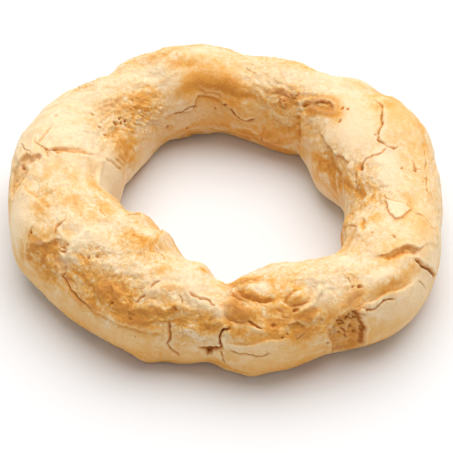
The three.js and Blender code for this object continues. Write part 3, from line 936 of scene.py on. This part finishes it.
def add(tree, kind, inputs=(), **settings):
    """Adds a node with its settings, and sets or links its inputs, by name or in order.

    An input takes a value, a socket, or a node, which stands for its first output.
    """
    node = tree.nodes.new("ShaderNode" + kind)
    for name, value in settings.items():
        setattr(node, name, value)
    for name, value in inputs.items() if isinstance(inputs, dict) else enumerate(inputs):
        source = value.outputs[0] if isinstance(value, bpy.types.Node) else value
        if isinstance(source, bpy.types.NodeSocket):
            tree.links.new(source, node.inputs[name])
        else:
            node.inputs[name].default_value = source
    return node


def new_material(name):
    """An empty material, the call that adds a node to it, and the place that its patterns take."""
    material = bpy.data.materials.new(name)
    material.use_nodes = True
    material.node_tree.nodes.clear()
    put = functools.partial(add, material.node_tree)
    return material, put, put("TexCoord").outputs["Object"]


def ramp_stops(node, stops):
    """Sets the stops of a colour ramp: place and linear colour."""
    elements = node.color_ramp.elements
    while len(elements) < len(stops):
        elements.new(1.0)
    for element, (place, colour) in zip(elements, stops):
        element.position = place
        element.color = (*colour, 1.0)


def speckled(place, size, detail, rough=0.55, swirl=0.0):
    """The inputs that give a noise lumps of that many millimetres."""
    scale = per_size(size)
    return {"Vector": place, "Scale": scale, "Detail": detail, "Roughness": rough, "Distortion": swirl}


def swung(put, field, strength):
    """A field that runs from 0 to 1, made to swing about 0."""
    middled = put("Math", (field, 0.5), operation="SUBTRACT")
    return put("Math", (middled, strength), operation="MULTIPLY")


def curled_lines(put, place, size, sharpness):
    """Thin lines that curl through the skin, about that many millimetres apart."""
    field = put("TexNoise", speckled(place, size, 4.0, 0.6, 1.6))
    middled = put("Math", (field, 0.5), operation="SUBTRACT")
    gap = put("Math", (middled, 0.0), operation="ABSOLUTE")
    fading = put("Math", (gap, sharpness), operation="MULTIPLY")
    return put("Math", (1.0, fading), operation="SUBTRACT", use_clamp=True)


def crust_lines(put, place):
    """Curled lines 3.2 mm apart, and fainter ones 1.4 mm apart between them."""
    fine = put("Math", (curled_lines(put, place, 1.4, 14.0), 0.7), operation="MULTIPLY")
    return put("Math", (curled_lines(put, place, 3.2, 22.0), fine), operation="ADD")


def toasting(put, place, tints, lines, mottle):
    """How far each spot goes along the toasting ramp, from 0 to 1: toasting, and the shade painted into
    the toasted tint.

    Toasting runs in streaks along the ring, over clouds 9 mm across, the mottling and freckles
    of 0.7 mm. The curled lines, scored into the skin as grooves, are darkened as painted shade. Where
    the skin is smooth it is more even.
    """
    clouds = put("TexNoise", speckled(place, 9.0, 3.0))
    freckles = put("TexNoise", speckled(place, 0.7, 2.0))
    streaked = put("Math", (tints["streaks"], 1.5), operation="MULTIPLY")
    patchy = put("Math", (streaked, 0.5), operation="ADD", use_clamp=True)
    evened = put("Math", (tints["smooth"], 0.8), operation="MULTIPLY")
    uneven = put("Math", (1.0, evened), operation="SUBTRACT")
    swing = put("Math", (uneven, 1.3), operation="MULTIPLY")
    middled = put("Math", (patchy, 0.5), operation="SUBTRACT")
    swing = put("Math", (middled, swing), operation="MULTIPLY")
    share = put("Math", (swing, 0.76), operation="ADD")
    level = put("Math", (tints["toasted"], share), operation="MULTIPLY")
    level = put("Math", (level, swung(put, clouds, 0.2)), operation="ADD")
    flecks = put("Math", (swung(put, mottle, 0.32), swung(put, freckles, 0.16)), operation="ADD")
    flecks = put("Math", (flecks, uneven), operation="MULTIPLY")
    level = put("Math", (level, flecks), operation="ADD")
    # Painted shade along the scored lines, with freckles, where the skin is scaly.
    specks = put("Math", (lines, 0.1), operation="MULTIPLY")
    specks = put("Math", (specks, swung(put, freckles, 0.5)), operation="ADD")
    strewn = put("Math", (tints["scaly"], specks), operation="MULTIPLY")
    level = put("Math", (level, strewn), operation="ADD")
    # Painted shade along the scored lines, stronger where toasted.
    drawn = put("Math", (tints["toasted"], 0.3), operation="MULTIPLY")
    drawn = put("Math", (drawn, 0.02), operation="ADD")
    drawn = put("Math", (lines, drawn), operation="MULTIPLY")
    drawn = put("Math", (drawn, 0.03), operation="ADD")
    return put("Math", (level, drawn), operation="ADD", use_clamp=True)


def crust_colour(put, look, tints, level, mottle):
    """Skin colours by toasting and painted shade, then floury skin and painted highlights over them,
    then the crumb colour where the skin is gone and as painted shade in cracks, pits, hollows and under
    edges.
    """
    pale_mottle = put("Math", (swung(put, mottle, 0.9), 0.7), operation="ADD")
    pale_share = put("Math", (tints["pale"], pale_mottle), operation="MULTIPLY", use_clamp=True)
    shaded = put("Math", (pale_share, 0.7), operation="MULTIPLY")
    shaded = put("Math", (1.0, shaded), operation="SUBTRACT")
    level = put("Math", (level, shaded), operation="MULTIPLY")
    skin = put("ValToRGB", (level,))
    stops = (
        (0.0, look.skin_colour),
        (0.24, look.golden_colour),
        (0.52, look.amber_colour),
        (0.85, look.brown_colour),
    )
    ramp_stops(skin, stops)
    # The pale tint lays this colour as floury skin and as painted highlights on lips, rims and lit
    # crests.
    pale_rgba = (*look.flour_and_highlight_colour, 1.0)
    skin_and_pale = put("Mix", {"Factor": pale_share, "A": skin, "B": pale_rgba}, data_type="RGBA")
    # The crumb tint runs to the deep colour as painted shade in cracks, pits, hollows and under edges.
    inner = put("ValToRGB", (tints["crumb"],))
    ramp_stops(inner, ((0.25, look.crumb_colour), (0.95, look.deep_crumb_and_shade_colour)))
    shown = put("Math", (tints["crumb"], 1.5), operation="MULTIPLY", use_clamp=True)
    layers = {"Factor": shown, "A": skin_and_pale.outputs["Result"], "B": inner}
    return put("Mix", layers, data_type="RGBA").outputs["Result"]


def crust_roughness(put, tints):
    """Dry and faintly glossy where the skin toasted, and matt where the crumb shows."""
    polish = put("Math", (tints["toasted"], 0.14), operation="MULTIPLY")
    gloss = put("Math", (0.58, polish), operation="SUBTRACT")
    dull = put("Math", (tints["crumb"], 0.35), operation="MULTIPLY")
    return put("Math", (gloss, dull), operation="ADD", use_clamp=True)


def crust_grain(put, place, tints, lines):
    """Grains of 0.55 mm and wrinkles of 1.6 mm in the starch skin, rougher where it flakes."""
    grain = put("TexNoise", speckled(place, 0.55, 3.0, 0.6))
    wrinkle = put("TexNoise", speckled(place, 1.6, 3.0, 0.6))
    relief = put("Math", (swung(put, grain, 0.45), swung(put, wrinkle, 0.75)), operation="ADD")
    scored = put("Math", (lines, 0.3), operation="MULTIPLY")
    relief = put("Math", (relief, scored), operation="SUBTRACT")
    broken = put("Math", (tints["scaly"], tints["crumb"]), operation="MAXIMUM")
    coarse = put("Math", (broken, 0.9), operation="MULTIPLY")
    coarse = put("Math", (coarse, 0.3), operation="ADD")
    height = put("Math", (relief, coarse), operation="MULTIPLY")
    return put("Bump", {"Height": height, "Strength": 0.65, "Distance": 0.45 * MM})


def crust_material(look):
    """Baked cassava starch crust: a dry, slightly glossy skin that lets a little light in.

    It gives the eye cream plates that go golden and then amber where they toasted, white
    where floury skin and thin flakes show and as painted highlights on lips, rims and lit crests, and
    brown, matt crumb in the cracks. Painted shade darkens creases, troughs, cracks, pits, hollows and
    the foot of raised edges.
    """
    material, put, place = new_material("baked_starch_crust")
    tints = {name: put("Attribute", attribute_name=name).outputs["Fac"] for name in Skin.TINTS}
    mottle = put("TexNoise", speckled(place, 2.4, 4.0, 0.68, 0.9))
    lines = crust_lines(put, place)
    level = toasting(put, place, tints, lines, mottle)
    # Baked starch passes light for about 2 mm, reddest furthest.
    finish = {
        "Base Color": crust_colour(put, look, tints, level, mottle),
        "Roughness": crust_roughness(put, tints),
        "Normal": crust_grain(put, place, tints, lines),
        "IOR": 1.45,
        "Specular IOR Level": 0.4,
        "Subsurface Weight": 0.35,
        "Subsurface Radius": (1.0, 0.6, 0.3),
        "Subsurface Scale": 2.0 * MM,
    }
    put("OutputMaterial", {"Surface": put("BsdfPrincipled", finish)})
    return material


def floor_material(colour):
    """Matt white paper sweep: a soft, even ground that takes the shadow."""
    material, put, place = new_material("matt_paper_sweep")
    # Paper tooth of 0.8 mm, drawn only as a trace of relief.
    tooth = put("TexNoise", {"Vector": place, "Scale": per_size(0.8)})
    bump = put("Bump", {"Height": tooth, "Strength": 0.05, "Distance": 0.05 * MM})
    finish = {
        "Normal": bump,
        "Base Color": (*colour, 1.0),
        "Roughness": 0.9,
        "Specular IOR Level": 0.1,
    }
    put("OutputMaterial", {"Surface": put("BsdfPrincipled", finish)})
    return material


# ---------------------------------------------------------------------------
# Settings
# ---------------------------------------------------------------------------


def colour_property(name, description, text):
    """A colour that the user may change."""
    return bpy.props.FloatVectorProperty(
        name=name,
        description=description,
        default=linear(text),
        subtype="COLOR",
        size=3,
        min=0.0,
        max=1.0,
    )


class CrustSettings(bpy.types.PropertyGroup):
    """What a user would change on the crust."""

    relief: bpy.props.FloatProperty(
        name="Relief",
        description="How strongly cracks, flakes and blisters stand out",
        default=1.0,
        min=0.0,
        max=1.5,
        subtype="FACTOR",
    )
    skin_colour: colour_property("Skin", "Untoasted skin", "#F6DDB8")
    # The golden to brown steps also paint the shade laid into the toasted tint.
    golden_colour: colour_property("Golden", "Lightly toasted skin", "#EEC17E")
    amber_colour: colour_property("Amber", "Toasted skin", "#EBA743")
    brown_colour: colour_property("Brown", "Darkest toasting", "#DB923B")
    # Also the colour of the painted highlights.
    flour_and_highlight_colour: colour_property("Flour", "Floury, pale skin", "#F9E1B9")
    crumb_colour: colour_property("Crumb", "Crumb just below the skin", "#E79C40")
    # Also paints the shade deep in cracks, pits and hollows and under edges.
    deep_crumb_and_shade_colour: colour_property("Deep crumb", "Crumb at the bottom of a crack", "#AA5614")


class StageSettings(bpy.types.PropertyGroup):
    """What a user would change on the stage."""

    floor_width: bpy.props.FloatProperty(
        name="Floor width",
        description="Side of the square paper sweep",
        default=4.0,
        unit="LENGTH",
    )
    floor_colour: colour_property("Floor", "Colour of the paper sweep", "#E5E4E4")
    camera_distance: bpy.props.FloatProperty(
        name="Camera distance",
        description="From the lens to the point it looks at",
        default=0.42,
        unit="LENGTH",
    )
    camera_height: bpy.props.FloatProperty(
        name="Camera angle",
        description="How far above the horizon the camera stands",
        default=math.radians(45.0),
        unit="ROTATION",
    )
    look_at: bpy.props.FloatVectorProperty(
        name="Look at",
        description="The point in the middle of the picture",
        default=(0.0002, -0.0015, 0.0013),
        subtype="TRANSLATION",
        unit="LENGTH",
        size=3,
    )
    lens: bpy.props.FloatProperty(
        name="Lens",
        description="Focal length in millimetres on a 36 mm sensor",
        default=145.0,
    )
    sky: bpy.props.FloatProperty(
        name="Room light",
        description="Strength of the light from all round",
        default=0.45,
    )
    key: bpy.props.FloatProperty(
        name="Key light",
        description="Strength of the soft light from above and behind",
        default=3.05,
    )
    key_turn: bpy.props.FloatProperty(
        name="Key direction",
        description="Where the key light stands, from +X towards +Y",
        default=math.radians(78.0),
        unit="ROTATION",
    )
    key_height: bpy.props.FloatProperty(
        name="Key height",
        description="How far above the horizon the key light stands",
        default=math.radians(66.0),
        unit="ROTATION",
    )
    key_softness: bpy.props.FloatProperty(
        name="Key softness",
        description="How wide the key light looks from the object",
        default=math.radians(70.0),
        unit="ROTATION",
    )


# ---------------------------------------------------------------------------
# Operators
# ---------------------------------------------------------------------------


class BISCUIT_OT_crust(bpy.types.Operator):
    """Build the baked crust of the ring on its CAD solid"""

    bl_idname = "biscuit.crust"
    bl_label = "Ring crust"

    def execute(self, context):
        look = context.scene.biscuit_crust
        mesh = skin_mesh(baked_skin(look.relief))
        piece = bpy.data.objects.new(PIECE, mesh)
        context.scene.collection.objects.link(piece)
        thinned(piece, SHOWN_FACES)
        piece.data.materials.append(crust_material(look))
        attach(piece, "root")
        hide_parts(NODE)
        return {"FINISHED"}


def unit_from(turn, height):
    """The direction at a turn from +X towards +Y and a height above the horizon."""
    flat = math.cos(height)
    return Vector((flat * math.cos(turn), flat * math.sin(turn), math.sin(height)))


class BISCUIT_OT_stage(bpy.types.Operator):
    """Lay the floor, and set up the light and the camera"""

    bl_idname = "biscuit.stage"
    bl_label = "Stage"

    def execute(self, context):
        stage = context.scene.biscuit_stage
        self.lay_floor(context, stage)
        self.hang_lights(context, stage)
        self.stand_camera(context, stage)
        context.scene.view_settings.view_transform = "Standard"
        return {"FINISHED"}

    def lay_floor(self, context, stage):
        half = stage.floor_width / 2
        mesh = bpy.data.meshes.new("paper_sweep")
        corners = [(-half, -half, 0), (half, -half, 0), (half, half, 0), (-half, half, 0)]
        mesh.from_pydata(corners, [], [(0, 1, 2, 3)])
        floor = bpy.data.objects.new("paper_sweep", mesh)
        context.scene.collection.objects.link(floor)
        mesh.materials.append(floor_material(stage.floor_colour))

    def hang_lights(self, context, stage):
        world = bpy.data.worlds.new("white_room")
        world.use_nodes = True
        background = world.node_tree.nodes["Background"]
        background.inputs["Color"].default_value = (1.0, 1.0, 1.0, 1.0)
        background.inputs["Strength"].default_value = stage.sky
        context.scene.world = world
        lamp = bpy.data.lights.new("soft_key", "SUN")
        lamp.energy = stage.key
        lamp.angle = stage.key_softness
        key = bpy.data.objects.new("soft_key", lamp)
        toward = unit_from(stage.key_turn, stage.key_height)
        key.rotation_mode = "QUATERNION"
        key.rotation_quaternion = toward.to_track_quat("Z", "Y")
        key.location = toward
        context.scene.collection.objects.link(key)

    def stand_camera(self, context, stage):
        data = bpy.data.cameras.new("camera")
        data.lens = stage.lens
        data.sensor_width = SENSOR_WIDTH
        data.clip_start = 0.01
        data.clip_end = 20.0
        camera = bpy.data.objects.new("camera", data)
        back = unit_from(math.radians(-90.0), stage.camera_height)
        camera.rotation_mode = "QUATERNION"
        camera.rotation_quaternion = (-back).to_track_quat("-Z", "Y")
        camera.location = Vector(stage.look_at) + back * stage.camera_distance
        context.scene.collection.objects.link(camera)
        context.scene.camera = camera


class BISCUIT_PT_sidebar(bpy.types.Panel):
    """The biscuit's settings and the buttons that build it"""

    bl_idname = "BISCUIT_PT_sidebar"
    bl_label = "Cassava ring biscuit"
    bl_space_type = "VIEW_3D"
    bl_region_type = "UI"
    bl_category = "Biscuit"

    def draw(self, context):
        groups = (
            (context.scene.biscuit_crust, BISCUIT_OT_crust),
            (context.scene.biscuit_stage, BISCUIT_OT_stage),
        )
        for settings, operator in groups:
            box = self.layout.box()
            for name in settings.__annotations__:
                box.prop(settings, name)
            box.operator(operator.bl_idname)


CLASSES = (CrustSettings, StageSettings, BISCUIT_OT_crust, BISCUIT_OT_stage, BISCUIT_PT_sidebar)


def register():
    for cls in CLASSES:
        bpy.utils.register_class(cls)
    bpy.types.Scene.biscuit_crust = bpy.props.PointerProperty(type=CrustSettings)
    bpy.types.Scene.biscuit_stage = bpy.props.PointerProperty(type=StageSettings)


def unregister():
    del bpy.types.Scene.biscuit_stage
    del bpy.types.Scene.biscuit_crust
    for cls in reversed(CLASSES):
        bpy.utils.unregister_class(cls)


def main():
    """Builds the biscuit and its stage."""
    register()
    bpy.ops.biscuit.crust()
    bpy.ops.biscuit.stage()


if __name__ == "__main__":
    main()
